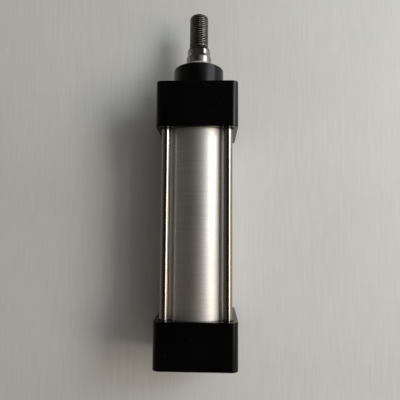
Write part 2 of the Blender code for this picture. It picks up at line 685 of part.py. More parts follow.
def make_needle(end_name, front):
    """Cushion needle with its sealing ring and the ring that keeps it in the cap."""
    x = BODY_LENGTH - PORT_OFFSET if front else PORT_OFFSET
    place = Vector((x, -0.5 * CAP_SIDE, NEEDLE_HEIGHT)) * MM
    inwards = Matrix.Rotation(math.radians(90.0), 4, "Z")
    screw = solid([
        (NEEDLE_TOP, NEEDLE_HEAD_RADIUS - 0.3), (NEEDLE_TOP + 0.3, NEEDLE_HEAD_RADIUS),
        (NEEDLE_TOP + 1.1, NEEDLE_HEAD_RADIUS), (NEEDLE_TOP + 1.1, NEEDLE_NECK_RADIUS),
        (NEEDLE_TOP + 2.4, NEEDLE_NECK_RADIUS), (NEEDLE_TOP + 2.4, NEEDLE_HEAD_RADIUS),
        (NEEDLE_TOP + 3.3, NEEDLE_HEAD_RADIUS), (NEEDLE_TOP + 3.3, NEEDLE_SHANK_RADIUS),
        (NEEDLE_TOP + 6.4, NEEDLE_SHANK_RADIUS), (NEEDLE_TOP + 7.4, 1.0), (NEEDLE_TOP + 9.4, NEEDLE_TIP_RADIUS),
    ])
    needle = new_object(f"{end_name}_cushion_needle", turned_mesh("needle", screw, SMALL_SIDES))
    slot = new_object("working_shape", bpy.data.meshes.new("working_shape"))
    body = bmesh.new()
    size = Matrix.Diagonal((2.0 * NEEDLE_SLOT_DEPTH * MM, 3.0 * NEEDLE_HEAD_RADIUS * MM,
                            NEEDLE_SLOT_WIDTH * MM, 1.0))
    bmesh.ops.create_cube(body, size=1.0, matrix=Matrix.Translation((NEEDLE_TOP * MM, 0.0, 0.0)) @ size)
    body.to_mesh(slot.data)
    body.free()
    apply_cut(needle, slot, "DIFFERENCE")
    dress(needle, "brass")
    ring = turned(f"{end_name}_needle_o_ring",
                  cord_profile(NEEDLE_TOP + 1.75, 2.45, 3.1, 0.9), SMALL_SIDES, "black_rubber")
    groove_start, groove_end = RETAINER_GROOVE
    retainer = turned(f"{end_name}_needle_retainer",
                      tube_profile(groove_start + 0.2, groove_end - 0.2, RETAINER_BORE_RADIUS,
                                   RETAINER_GROOVE_RADIUS - FIT_GAP),
                      SMALL_SIDES, "zinc_steel")
    for item in (needle, ring, retainer):
        item.data.transform(inwards)
        item.location = place


def build():
    """Make every piece of the cylinder."""
    clear_scene()
    make_cap("front_cap", front=True)
    make_cap("rear_cap", front=False)
    make_tube()
    make_tie_rods()
    make_tie_rod_nuts()
    make_piston_rod()
    make_piston()
    make_cushion_pieces()
    make_cap_fittings()
    make_needle("front", front=True)
    make_needle("rear", front=False)


build()
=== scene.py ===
"""Looks of the pneumatic cylinder: fine visible pieces, procedural materials, light and camera."""

import json
import math

import bmesh
import bpy
from mathutils import Euler, Matrix, Vector


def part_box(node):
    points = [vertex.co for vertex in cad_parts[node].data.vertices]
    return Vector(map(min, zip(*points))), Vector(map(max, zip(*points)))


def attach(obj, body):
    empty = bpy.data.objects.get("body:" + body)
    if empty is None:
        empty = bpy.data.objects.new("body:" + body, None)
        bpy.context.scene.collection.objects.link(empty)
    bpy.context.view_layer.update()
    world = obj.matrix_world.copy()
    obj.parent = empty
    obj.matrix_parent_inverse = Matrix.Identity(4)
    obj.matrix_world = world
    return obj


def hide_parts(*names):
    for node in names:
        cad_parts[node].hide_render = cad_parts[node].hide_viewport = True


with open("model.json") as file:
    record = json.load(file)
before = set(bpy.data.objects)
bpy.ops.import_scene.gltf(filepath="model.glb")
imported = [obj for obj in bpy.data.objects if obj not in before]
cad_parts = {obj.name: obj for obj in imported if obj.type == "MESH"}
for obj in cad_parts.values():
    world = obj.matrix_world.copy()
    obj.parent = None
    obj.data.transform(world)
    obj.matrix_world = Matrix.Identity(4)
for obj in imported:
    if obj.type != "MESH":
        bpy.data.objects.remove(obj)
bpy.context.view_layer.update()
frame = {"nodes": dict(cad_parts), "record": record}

MM = 0.001
ROOT = "cylinder_body"
ROD_BODY = "rod_and_piston"

# Places read from the frame, in millimetres
REAR_LOW, REAR_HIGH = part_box("rear_cap")
FRONT_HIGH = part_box("front_cap")[1]
TUBE_LOW, TUBE_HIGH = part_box("barrel_tube")
ROD_LOW, ROD_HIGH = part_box("piston_rod")
TIE_LOW, TIE_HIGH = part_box("tie_rod_1")
HALF_SIDE = REAR_HIGH[2] / MM
BOSS_LENGTH = 15.0
BODY_LENGTH = FRONT_HIGH[0] / MM - BOSS_LENGTH
TUBE_RADIUS = TUBE_HIGH[2] / MM
TUBE_START = TUBE_LOW[0] / MM
TUBE_END = TUBE_HIGH[0] / MM
ROD_START = ROD_LOW[0] / MM
ROD_END = ROD_HIGH[0] / MM
TIE_START = TIE_LOW[0] / MM
TIE_END = TIE_HIGH[0] / MM
TIE_REACH = 0.5 * (TIE_LOW[2] + TIE_HIGH[2]) / MM
NEEDLE_LOW, NEEDLE_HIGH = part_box("rear_cushion_needle")
NEEDLE_HEIGHT = 0.5 * (NEEDLE_LOW[2] + NEEDLE_HIGH[2]) / MM
PORT_OFFSET = 0.5 * (NEEDLE_LOW[0] + NEEDLE_HIGH[0]) / MM

# Sizes the frame's boxes do not give, in millimetres
CAP_LENGTH = 27.5
CAP_CORNER_RADIUS = 4.0
CAP_EDGE = 0.35
TUBE_POCKET_DEPTH = 3.0
TUBE_BORE_RADIUS = 20.0
BOSS_RADIUS = 16.0
SPIGOT_RADIUS = 19.6
SPIGOT_LENGTH = 8.0
CORE_START = 15.0
CHAMBER_RADIUS = 13.0
CHAMBER_START = 8.0
PORT_HEIGHT = -4.5
PORT_RADIUS = 6.5
PORT_DEPTH = 10.0
PORT_THREAD_PITCH = 1.337
PORT_THREAD_DEPTH = 0.75
NUT_POCKET_RADIUS = 4.9
NUT_POCKET_DEPTH = 18.0
NUT_CORNER_RADIUS = 4.6
NUT_FACE = 0.8
NUT_BORE_RADIUS = 3.3
NUT_THREAD_RADIUS = 3.0
NUT_THREAD_DEPTH = 0.55
NUT_THREAD_PITCH = 1.0
NUT_THREAD_END = 10.4
TIE_ROD_RADIUS = 2.65
ROD_RADIUS = 8.0
SHOULDER_START = 23.0
NECK_START = 25.2
NECK_END = 28.0
THREAD_START = 30.4
NECK_RADIUS = 7.3
ACROSS_FLATS = 13.0
FLAT_TURN = math.radians(1.0)
THREAD_RADIUS = 6.0
THREAD_DEPTH = 0.74
THREAD_PITCH = 1.25
CREST_DEPTH = 0.3
TIP_ROUND_LENGTH = 2.0
TIP_ROUND_DEPTH = 1.3
PACKING_REACH = 3.6
BEYOND = 1.0
GAP = 0.3
TUBE_CLEARANCE = 0.12
TUBE_EDGE = 0.3
BOSS_EDGE = 0.75
PACKING_POCKET_START = -13.0
PACKING_POCKET_END = -5.0
PACKING_POCKET_RADIUS = 12.0
PACKING_MOUTH_RADIUS = 10.6
BUSH_BORE_RADIUS = 10.0
TIE_HOLE_RADIUS = 3.2
TIE_THREAD_RADIUS = 2.9
TIE_THREAD_LENGTH = 14.0
TIE_END_RADIUS = 2.4
AIR_HOLE_RADIUS = 4.0
NEEDLE_BORE_RADIUS = 3.3
NEEDLE_GROOVE_RADIUS = 4.0
NEEDLE_THREAD_BORE_RADIUS = 2.6
NEEDLE_SEAT_RADIUS = 1.3
NEEDLE_TOP = 3.0
NEEDLE_HEAD_RADIUS = 3.0
NEEDLE_NECK_RADIUS = 2.2
NEEDLE_SHANK_RADIUS = 2.3
NEEDLE_POINT_RADIUS = 1.0
NEEDLE_TIP_RADIUS = 0.6
NEEDLE_SLOT_WIDTH = 0.8
NEEDLE_SLOT_DEPTH = 0.8
RING_START = 0.95
RING_END = 1.45
RING_INNER_RADIUS = 2.75
RING_OUTER_RADIUS = 3.7
RING_GAP_END = 25.0
PISTON_SEAT_END = 75.6
PISTON_SEAT_RADIUS = 5.9

TURNED_SIDES = 128
TUBE_SIDES = 192
MIDDLE_SIDES = 64
SMALL_SIDES = 48
ROD_SIDES = 144
SMOOTH_ANGLE = math.radians(30.0)

SIDE_TURN = Matrix.Rotation(math.radians(90.0), 4, "Z")
TURN_ROUND = Matrix.Rotation(math.pi, 4, "Z")


# ---------------------------------------------------------------- materials

NONE = (0.0, 0.0, 0.0)
FULL = (1.0, 1.0, 1.0)

# The colour sockets of a mix node, which also has number and vector sockets of the same names
MIX_FIRST = 6
MIX_SECOND = 7
MIX_RESULT = 2


def node(tree, kind, **values):
    """Add a node and set its own options."""
    made = tree.nodes.new(kind)
    for key, value in values.items():
        setattr(made, key, value)
    return made


def start_material(name, **sockets):
    """A new Principled material with its constant sockets set."""
    material = bpy.data.materials.new(name)
    material.use_nodes = True
    shader = material.node_tree.nodes["Principled BSDF"]
    for socket, value in sockets.items():
        shader.inputs[socket.replace("_", " ")].default_value = value
    return material, material.node_tree, shader


def texture_place(tree, scale):
    """Object coordinates stretched by scale along each axis."""
    coords = node(tree, "ShaderNodeTexCoord")
    mapping = node(tree, "ShaderNodeMapping")
    mapping.inputs["Scale"].default_value = scale
    tree.links.new(coords.outputs["Object"], mapping.inputs["Vector"])
    return mapping.outputs["Vector"]


def noise(tree, vector, scale, detail=3.0, roughness=0.55):
    """Noise texture factor."""
    made = node(tree, "ShaderNodeTexNoise")
    made.inputs["Scale"].default_value = scale
    made.inputs["Detail"].default_value = detail
    made.inputs["Roughness"].default_value = roughness
    tree.links.new(vector, made.inputs["Vector"])
    return made.outputs["Fac"]


def ramp(tree, factor, stops):
    """Colour ramp over a factor; stops are (position, colour) pairs."""
    made = node(tree, "ShaderNodeValToRGB")
    band = made.color_ramp
    while len(band.elements) < len(stops):
        band.elements.new(0.5)
    for element, (position, colour) in zip(band.elements, stops):
        element.position = position
        element.color = (*colour, 1.0)
    tree.links.new(factor, made.inputs["Fac"])
    return made.outputs["Color"]


def remap(tree, factor, low, high, new_low, new_high):
    """Map a factor from one span onto another."""
    made = node(tree, "ShaderNodeMapRange")
    made.inputs["From Min"].default_value = low
    made.inputs["From Max"].default_value = high
    made.inputs["To Min"].default_value = new_low
    made.inputs["To Max"].default_value = new_high
    tree.links.new(factor, made.inputs["Value"])
    return made.outputs["Result"]


def mix_colour(tree, factor, first, second):
    """Blend two colours by a factor."""
    made = node(tree, "ShaderNodeMix", data_type="RGBA")
    tree.links.new(factor, made.inputs["Factor"])
    for index, value in ((MIX_FIRST, first), (MIX_SECOND, second)):
        if isinstance(value, bpy.types.NodeSocket):
            tree.links.new(value, made.inputs[index])
        else:
            made.inputs[index].default_value = (*value, 1.0)
    return made.outputs[MIX_RESULT]


def multiply(tree, first, second, share=1.0):
    """Multiply one colour by another, wholly or by a share."""
    made = node(tree, "ShaderNodeMix", data_type="RGBA", blend_type="MULTIPLY")
    made.inputs["Factor"].default_value = share
    tree.links.new(first, made.inputs[MIX_FIRST])
    tree.links.new(second, made.inputs[MIX_SECOND])
    return made.outputs[MIX_RESULT]


def add_bump(tree, shader, height, strength, distance):
    """Bump chained onto whatever normal the shader already has."""
    made = node(tree, "ShaderNodeBump")
    made.inputs["Strength"].default_value = strength
    made.inputs["Distance"].default_value = distance
    tree.links.new(height, made.inputs["Height"])
    target = shader.inputs["Normal"]
    if target.is_linked:
        tree.links.new(target.links[0].from_socket, made.inputs["Normal"])
    tree.links.new(made.outputs["Normal"], target)


def black_anodised():
    """Black anodised aluminium: satin sheen, faint machining, handling smudges and dust."""
    material, tree, shader = start_material(
        "black_anodised_finish", Metallic=0.0, Specular_IOR_Level=0.2, IOR=1.5)
    place = texture_place(tree, (1.0, 1.0, 1.0))
    smudge = noise(tree, place, 45.0, 4.0)
    fine = noise(tree, place, 2600.0, 2.0)
    dust = noise(tree, place, 1500.0, 1.0)
    specks = ramp(tree, dust, [(0.0, NONE), (0.775, NONE), (0.80, FULL), (1.0, FULL)])
    tone = ramp(tree, smudge, [(0.3, (0.0008, 0.0009, 0.0011)), (0.7, (0.0018, 0.0018, 0.0019))])
    colour = mix_colour(tree, specks, tone, (0.060, 0.056, 0.050))
    tree.links.new(colour, shader.inputs["Base Color"])
    tree.links.new(remap(tree, smudge, 0.3, 0.7, 0.16, 0.27), shader.inputs["Roughness"])
    add_bump(tree, shader, fine, 0.25, 0.00003)
    return material


def brushed_tube():
    """Drawn aluminium tube: fine rings of grain round it that blur reflections along its length."""
    material, tree, shader = start_material(
        "satin_aluminium_finish", Metallic=1.0, Anisotropic=0.45, Anisotropic_Rotation=0.25)
    tangent = node(tree, "ShaderNodeTangent", direction_type="RADIAL", axis="X")
    tree.links.new(tangent.outputs["Tangent"], shader.inputs["Tangent"])
    grain = noise(tree, texture_place(tree, (3200.0, 60.0, 60.0)), 1.0, 3.0)
    speckle = noise(tree, texture_place(tree, (1500.0, 1500.0, 1500.0)), 1.0, 2.0)
    cloud = noise(tree, texture_place(tree, (30.0, 60.0, 60.0)), 1.0, 3.0)
    tone = ramp(tree, grain, [(0.25, (0.52, 0.495, 0.465)), (0.75, (0.64, 0.62, 0.59))])
    mottled = ramp(tree, speckle, [(0.3, (0.86, 0.86, 0.86)), (0.7, (1.0, 1.0, 1.0))])
    tree.links.new(multiply(tree, tone, mottled, 0.8), shader.inputs["Base Color"])
    tree.links.new(remap(tree, cloud, 0.3, 0.7, 0.50, 0.56), shader.inputs["Roughness"])
    add_bump(tree, shader, grain, 0.35, 0.00002)
    add_bump(tree, shader, speckle, 0.25, 0.00002)
    return material


def drawn_chrome(name, colour, low, high, scale):
    """Bright plated steel with hair lines along scale's finest direction and faint haze."""
    material, tree, shader = start_material(name, Metallic=1.0)
    lines = noise(tree, texture_place(tree, scale), 1.0, 2.0)
    haze = noise(tree, texture_place(tree, (90.0, 160.0, 160.0)), 1.0, 3.0)
    dark = tuple(0.86 * part for part in colour)
    tree.links.new(ramp(tree, lines, [(0.3, dark), (0.7, colour)]), shader.inputs["Base Color"])
    tree.links.new(remap(tree, haze, 0.3, 0.7, low, high), shader.inputs["Roughness"])
    add_bump(tree, shader, lines, 0.12, 0.00001)
    return material


def rolled_thread():
    """Dark rolled thread: dark brown below the crests and bare steel on them, told apart by distance from the
    axis.
    """
    material, tree, shader = start_material("rolled_thread_finish", Metallic=1.0)
    grime = noise(tree, texture_place(tree, (420.0, 420.0, 420.0)), 1.0, 4.0)
    wear = noise(tree, texture_place(tree, (900.0, 260.0, 260.0)), 1.0, 3.0)
    split = node(tree, "ShaderNodeSeparateXYZ")
    coords = node(tree, "ShaderNodeTexCoord")
    tree.links.new(coords.outputs["Object"], split.inputs["Vector"])
    across = node(tree, "ShaderNodeCombineXYZ")
    tree.links.new(split.outputs["Y"], across.inputs["Y"])
    tree.links.new(split.outputs["Z"], across.inputs["Z"])
    reach = node(tree, "ShaderNodeVectorMath", operation="LENGTH")
    tree.links.new(across.outputs["Vector"], reach.inputs[0])
    # Darker and rougher below the crests, bare steel on the crests: chosen only by distance from the axis
    root = THREAD_RADIUS - CREST_DEPTH
    crest = remap(tree, reach.outputs["Value"], root * MM, THREAD_RADIUS * MM, 0.0, 1.0)
    worn = node(tree, "ShaderNodeMath", operation="MULTIPLY")
    tree.links.new(crest, worn.inputs[0])
    tree.links.new(remap(tree, wear, 0.35, 0.65, 0.35, 1.0), worn.inputs[1])
    bare = node(tree, "ShaderNodeMath", operation="MULTIPLY")
    tree.links.new(worn.outputs["Value"], bare.inputs[0])
    start = BODY_LENGTH + THREAD_START
    past_start = remap(tree, split.outputs["X"], (start + 0.3) * MM, (start + THREAD_PITCH) * MM, 0.0, 1.0)
    tree.links.new(past_start, bare.inputs[1])
    base = ramp(tree, grime, [(0.3, (0.020, 0.014, 0.011)), (0.7, (0.058, 0.043, 0.034))])
    colour = mix_colour(tree, bare.outputs["Value"], base, (0.60, 0.56, 0.52))
    tree.links.new(colour, shader.inputs["Base Color"])
    tree.links.new(remap(tree, bare.outputs["Value"], 0.0, 1.0, 0.46, 0.17), shader.inputs["Roughness"])
    add_bump(tree, shader, grime, 0.3, 0.00003)
    return material


def plain_metal(name, colour, roughness, grain_scale, rings=False):
    """Machined or plated metal with tool marks."""
    material, tree, shader = start_material(name, Metallic=1.0)
    stretch = (grain_scale, 90.0, 90.0) if rings else (grain_scale, grain_scale, grain_scale)
    grain = noise(tree, texture_place(tree, stretch), 1.0, 3.0)
    patch = noise(tree, texture_place(tree, (180.0, 180.0, 180.0)), 1.0, 3.0)
    dark = tuple(0.78 * part for part in colour)
    tree.links.new(ramp(tree, patch, [(0.3, dark), (0.7, colour)]), shader.inputs["Base Color"])
    haze = remap(tree, grain, 0.3, 0.7, roughness - 0.07, roughness + 0.08)
    tree.links.new(haze, shader.inputs["Roughness"])
    add_bump(tree, shader, grain, 0.3, 0.00002)
    return material


def moulded(name, colour, roughness, translucent=0.0):
    """Moulded rubber or plastic with a fine skin and slight blotches."""
    material, tree, shader = start_material(name, Metallic=0.0, Subsurface_Weight=translucent)
    skin = noise(tree, texture_place(tree, (1900.0, 1900.0, 1900.0)), 1.0, 2.0)
    patch = noise(tree, texture_place(tree, (220.0, 220.0, 220.0)), 1.0, 3.0)
    dark = tuple(0.72 * part for part in colour)
    tree.links.new(ramp(tree, patch, [(0.3, dark), (0.7, colour)]), shader.inputs["Base Color"])
    haze = remap(tree, patch, 0.3, 0.7, roughness - 0.08, roughness + 0.08)
    tree.links.new(haze, shader.inputs["Roughness"])
    add_bump(tree, shader, skin, 0.3, 0.00003)
    return material


def bench():
    """Pale sheet the cylinder lies on, with a faint fibre."""
    material, tree, shader = start_material("pale_bench_finish", Metallic=0.0, Specular_IOR_Level=0.25)
    fibre = noise(tree, texture_place(tree, (60.0, 900.0, 60.0)), 1.0, 4.0)
    cloud = noise(tree, texture_place(tree, (9.0, 9.0, 9.0)), 1.0, 3.0)
    tone = ramp(tree, cloud, [(0.3, (0.70, 0.70, 0.685)), (0.7, (0.755, 0.755, 0.74))])
    threads = ramp(tree, fibre, [(0.3, (0.93, 0.93, 0.93)), (0.7, (1.0, 1.0, 1.0))])
    tree.links.new(multiply(tree, tone, threads), shader.inputs["Base Color"])
    shader.inputs["Roughness"].default_value = 0.6
    add_bump(tree, shader, fibre, 0.15, 0.00004)
    return material


FINISHES = {
    "black_anodised": black_anodised(),
    "satin_aluminium": brushed_tube(),
    "machined_aluminium": plain_metal(
        "machined_aluminium_finish", (0.70, 0.70, 0.71), 0.30, 2400.0, rings=True),
    "chrome": drawn_chrome("chrome_finish", (0.34, 0.315, 0.285), 0.17, 0.24, (35.0, 1400.0, 1400.0)),
    "zinc_steel": plain_metal("zinc_steel_finish", (0.58, 0.58, 0.56), 0.30, 1600.0),
    "bronze": plain_metal("bronze_finish", (0.46, 0.31, 0.16), 0.36, 1500.0),
    "brass": plain_metal("brass_finish", (0.70, 0.50, 0.22), 0.28, 1800.0),
    "black_rubber": moulded("black_rubber_finish", (0.022, 0.022, 0.021), 0.62),
    "pale_polyurethane": moulded("pale_polyurethane_finish", (0.36, 0.345, 0.31), 0.30, 0.1),
    "dark_nylon": moulded("dark_nylon_finish", (0.05, 0.05, 0.055), 0.50),
}
THREAD_FINISH = rolled_thread()


# ---------------------------------------------------------------- mesh tools

def mesh_from(name, points, faces, finishes=None):
    """Closed mesh in metres with its faces turned outwards."""
    mesh = bpy.data.meshes.new(name)
    body = bmesh.new()
    corners = [body.verts.new(Vector(point) * MM) for point in points]
    for number, face in enumerate(faces):
        made = body.faces.new([corners[index] for index in face])
        if finishes:
            made.material_index = finishes[number]
    bmesh.ops.recalc_face_normals(body, faces=body.faces)
    body.to_mesh(mesh)
    body.free()
    return mesh


def ring_points(x, radius, sides, phase=0.0, shape=None):
    """Points of one ring round the X axis; shape may change the radius by angle."""
    points = []
    for index in range(sides):
        angle = phase + 2.0 * math.pi * index / sides
        reach = shape(x, radius, angle) if shape else radius
        points.append((x, reach * math.cos(angle), reach * math.sin(angle)))
    return points


def loft(name, rings, closed, second_finish_from=None):
    """Mesh through rings of points; a single point closes an end, a closed run makes a hollow ring.

    The bands from number second_finish_from on take the piece's second finish.
    """
    points = []
    indices = []
    for ring in rings:
        indices.append(list(range(len(points), len(points) + len(ring))))
        points.extend(ring)
    pairs = list(zip(indices, indices[1:]))
    if closed:
        pairs.append((indices[-1], indices[0]))
    faces = []
    finishes = []
    for number, (low, high) in enumerate(pairs):
        count = max(len(low), len(high))
        for index in range(count):
            following = (index + 1) % count
            if len(low) == 1:
                faces.append((low[0], high[following], high[index]))
            elif len(high) == 1:
                faces.append((low[index], low[following], high[0]))
            else:
                faces.append((low[index], low[following], high[following], high[index]))
            finishes.append(int(second_finish_from is not None and number >= second_finish_from))
    return mesh_from(name, points, faces, finishes)


def turned_mesh(name, profile, sides, phase=0.0, shape=None):
    """Mesh turned round the X axis from (x, radius) pairs; off the axis it closes on itself."""
    rings = []
    for x, radius in profile:
        rings.append([(x, 0.0, 0.0)] if radius == 0.0 else ring_points(x, radius, sides, phase, shape))
    return loft(name, rings, closed=profile[0][1] != 0.0)


def solid(profile):
    """Close a run of (x, radius) pairs onto the axis at both ends."""
    return [(profile[0][0], 0.0), *profile, (profile[-1][0], 0.0)]


def shape_object(name, mesh):
    """Link a mesh as an object of its own."""
    item = bpy.data.objects.new(name, mesh)
    bpy.context.scene.collection.objects.link(item)
    return item


def combine(item, mesh, operation, placement=None):
    """Cut or build up a piece with another closed mesh by an exact Boolean."""
    if placement is not None:
        mesh.transform(placement)
    cutter = shape_object("working_shape", mesh)
    step = item.modifiers.new(operation.lower(), "BOOLEAN")
    step.object = cutter
    step.operation = operation
    step.solver = "EXACT"
    graph = bpy.context.evaluated_depsgraph_get()
    result = bpy.data.meshes.new_from_object(item.evaluated_get(graph))
    item.modifiers.clear()
    item.data = result
    bpy.data.objects.remove(cutter, do_unlink=True)


def present(item, slot, body, *nodes, finish=None):
    """Finish a visible piece: material, shading, the body it rides on and the nodes it stands for."""
    item.data.materials.clear()
    item.data.materials.append(finish or FINISHES[slot])
    item.data.shade_smooth()
    item.data.set_sharp_from_angle(angle=SMOOTH_ANGLE)
    weigh = item.modifiers.new("flat_faces_stay_flat", "WEIGHTED_NORMAL")
    weigh.keep_sharp = True
    weigh.weight = 100
    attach(item, body)
    if nodes:
        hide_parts(*nodes)
    return item


# ---------------------------------------------------------------- caps

def rounded_square(x, half, radius, steps=12):
    """Outline of a square across the X axis with rounded corners."""
    reach = half - radius
    points = []
    for corner in range(4):
        middle = math.radians(45.0 + 90.0 * corner)
        centre_y = math.copysign(reach, math.cos(middle))
        centre_z = math.copysign(reach, math.sin(middle))
        for step in range(steps + 1):
            angle = math.radians(90.0 * corner + 90.0 * step / steps)
            points.append((x, centre_y + radius * math.cos(angle), centre_z + radius * math.sin(angle)))
    return points


def cap_block(name):
    """Square block with rounded corners and softly broken end edges."""
    rings = []
    for x, inset in ((0.0, CAP_EDGE), (0.3 * CAP_EDGE, 0.3 * CAP_EDGE), (CAP_EDGE, 0.0),
                     (CAP_LENGTH - CAP_EDGE, 0.0), (CAP_LENGTH - 0.3 * CAP_EDGE, 0.3 * CAP_EDGE),
                     (CAP_LENGTH, CAP_EDGE)):
        rings.append(rounded_square(x, HALF_SIDE - inset, CAP_CORNER_RADIUS - inset))
    points = [point for ring in rings for point in ring]
    count = len(rings[0])
    levels = [list(range(level * count, (level + 1) * count)) for level in range(len(rings))]
    faces = [tuple(reversed(levels[0])), tuple(levels[-1])]
    for low, high in zip(levels, levels[1:]):
        for index in range(count):
            following = (index + 1) % count
            faces.append((low[index], low[following], high[following], high[index]))
    return shape_object(name, mesh_from(name, points, faces))


def corner_centres():
    """Tie rod places across the axis, as (y, z) pairs, in the order of the tie rod nodes."""
    return [(y * TIE_REACH, z * TIE_REACH) for y, z in ((-1, 1), (1, 1), (1, -1), (-1, -1))]


def side_place(side, height):
    """Where a shape turned round X starts to run in from the side face, at the port's distance."""
    turn = Matrix.Rotation(math.radians(-90.0 * side), 4, "Z")
    return Matrix.Translation(Vector((PORT_OFFSET, side * HALF_SIDE, height)) * MM) @ turn


def make_cap(name, front):
    """Visible cap, built from its outer face at x = 0 and turned round for the rod end."""
    side = 1.0 if front else -1.0
    cap = cap_block(name)
    pocket_radius = TUBE_RADIUS + TUBE_CLEARANCE
    pocket = solid([(CAP_LENGTH - TUBE_POCKET_DEPTH, pocket_radius), (CAP_LENGTH - 0.2, pocket_radius),
                    (CAP_LENGTH + BEYOND, pocket_radius + BEYOND + 0.2)])
    combine(cap, turned_mesh("pocket", pocket, TURNED_SIDES), "DIFFERENCE")
    mouth = CAP_LENGTH + SPIGOT_LENGTH
    spigot = [(CORE_START, SPIGOT_RADIUS), (mouth - 0.6, SPIGOT_RADIUS), (mouth, SPIGOT_RADIUS - 0.6)]
    if front:
        core = solid([(-BOSS_LENGTH, BOSS_RADIUS - BOSS_EDGE), (-BOSS_LENGTH + 0.12, BOSS_RADIUS - 0.4),
                      (-BOSS_LENGTH + 0.4, BOSS_RADIUS - 0.12), (-BOSS_LENGTH + BOSS_EDGE, BOSS_RADIUS),
                      (CORE_START, BOSS_RADIUS), *spigot])
    else:
        core = solid(spigot)
    combine(cap, turned_mesh("core", core, TURNED_SIDES), "UNION")
    chamber = [(CHAMBER_START, CHAMBER_RADIUS), (mouth + BEYOND, CHAMBER_RADIUS)]
    if front:
        chamber = [(-BOSS_LENGTH - BEYOND, PACKING_MOUTH_RADIUS + 0.9),
                   (-BOSS_LENGTH + 0.4, PACKING_MOUTH_RADIUS),
                   (PACKING_POCKET_START, PACKING_MOUTH_RADIUS),
                   (PACKING_POCKET_START, PACKING_POCKET_RADIUS),
                   (PACKING_POCKET_END, PACKING_POCKET_RADIUS), (PACKING_POCKET_END, BUSH_BORE_RADIUS),
                   (CHAMBER_START, BUSH_BORE_RADIUS), *chamber]
    combine(cap, turned_mesh("chamber", solid(chamber), TURNED_SIDES), "DIFFERENCE")
    hole = solid([(-BEYOND, NUT_POCKET_RADIUS + BEYOND + 0.3), (0.3, NUT_POCKET_RADIUS),
                  (NUT_POCKET_DEPTH, NUT_POCKET_RADIUS), (NUT_POCKET_DEPTH, TIE_HOLE_RADIUS),
                  (CAP_LENGTH - 0.4, TIE_HOLE_RADIUS), (CAP_LENGTH + BEYOND, TIE_HOLE_RADIUS + BEYOND + 0.4)])
    for y, z in corner_centres():
        place = Matrix.Translation(Vector((0.0, y, z)) * MM)
        combine(cap, turned_mesh("hole", hole, SMALL_SIDES), "DIFFERENCE", place)
    port = solid([(-BEYOND, PORT_RADIUS + BEYOND + 0.5), (0.5, PORT_RADIUS), (PORT_DEPTH, PORT_RADIUS),
                  (PORT_DEPTH + 0.8, AIR_HOLE_RADIUS), (PORT_DEPTH + 3.5, AIR_HOLE_RADIUS)])
    combine(cap, turned_mesh("port", port, MIDDLE_SIDES), "DIFFERENCE", side_place(side, PORT_HEIGHT))
    bore = solid([(-BEYOND, NEEDLE_BORE_RADIUS + BEYOND + 0.3), (0.3, NEEDLE_BORE_RADIUS),
                  (0.7, NEEDLE_BORE_RADIUS), (0.7, NEEDLE_GROOVE_RADIUS),
                  (1.7, NEEDLE_GROOVE_RADIUS), (1.7, NEEDLE_BORE_RADIUS),
                  (7.0, NEEDLE_BORE_RADIUS), (7.0, NEEDLE_THREAD_BORE_RADIUS),
                  (11.0, NEEDLE_THREAD_BORE_RADIUS), (11.0, NEEDLE_SEAT_RADIUS), (16.5, NEEDLE_SEAT_RADIUS)])
    combine(cap, turned_mesh("needle_bore", bore, SMALL_SIDES), "DIFFERENCE", side_place(side, NEEDLE_HEIGHT))
    if front:
        cap.data.transform(Matrix.Translation(Vector((BODY_LENGTH, 0.0, 0.0)) * MM) @ TURN_ROUND)
    return present(cap, "black_anodised", ROOT, name)


def inner_thread_profile(start, end, root_radius, outer_radius, depth, pitch, sides, samples=8):
    """Rings of a sleeve whose inside carries a helical thread and whose outside is plain."""
    count = int(round((end - start) / pitch * samples))
    span = end - start

    def crest(x, radius, angle):
        phase = ((x - start) / pitch - angle / (2.0 * math.pi)) % 1.0
        rise = min(1.0, 1.45 * (1.0 - abs(2.0 * phase - 1.0)))
        fade = min(1.0, (x - start) / pitch, (end - x) / pitch)
        return radius - depth * rise * max(0.0, fade)

    rings = [ring_points(start, outer_radius, sides)]
    for index in range(count + 1):
        rings.append(ring_points(start + span * index / count, root_radius, sides, 0.0, crest))
    rings.append(ring_points(end, outer_radius, sides))
    return rings


def make_port_thread(end_name, front):
    """Thread cut in the port's wall."""
    name = f"{end_name}_port_thread"
    rings = inner_thread_profile(0.6, PORT_DEPTH - 0.4, PORT_RADIUS - 0.06, PORT_RADIUS - 0.01,
                                 PORT_THREAD_DEPTH, PORT_THREAD_PITCH, MIDDLE_SIDES)
    item = shape_object(name, loft(name, rings, closed=True))
    side = 1.0 if front else -1.0
    item.data.transform(side_place(side, PORT_HEIGHT))
    if front:
        item.data.transform(Matrix.Translation(Vector((BODY_LENGTH, 0.0, 0.0)) * MM) @ TURN_ROUND)
    present(item, "machined_aluminium", ROOT)


# ---------------------------------------------------------------- tube, tie rods and nuts

def make_tube():
    """Barrel with its bore."""
    profile = [(TUBE_START, TUBE_BORE_RADIUS + TUBE_EDGE), (TUBE_START, TUBE_RADIUS - TUBE_EDGE),
               (TUBE_START + TUBE_EDGE, TUBE_RADIUS), (TUBE_END - TUBE_EDGE, TUBE_RADIUS),
               (TUBE_END, TUBE_RADIUS - TUBE_EDGE), (TUBE_END, TUBE_BORE_RADIUS + TUBE_EDGE),
               (TUBE_END - TUBE_EDGE, TUBE_BORE_RADIUS), (TUBE_START + TUBE_EDGE, TUBE_BORE_RADIUS)]
    tube = shape_object("barrel", turned_mesh("barrel", profile, TUBE_SIDES))
    present(tube, "satin_aluminium", ROOT, "barrel_tube")


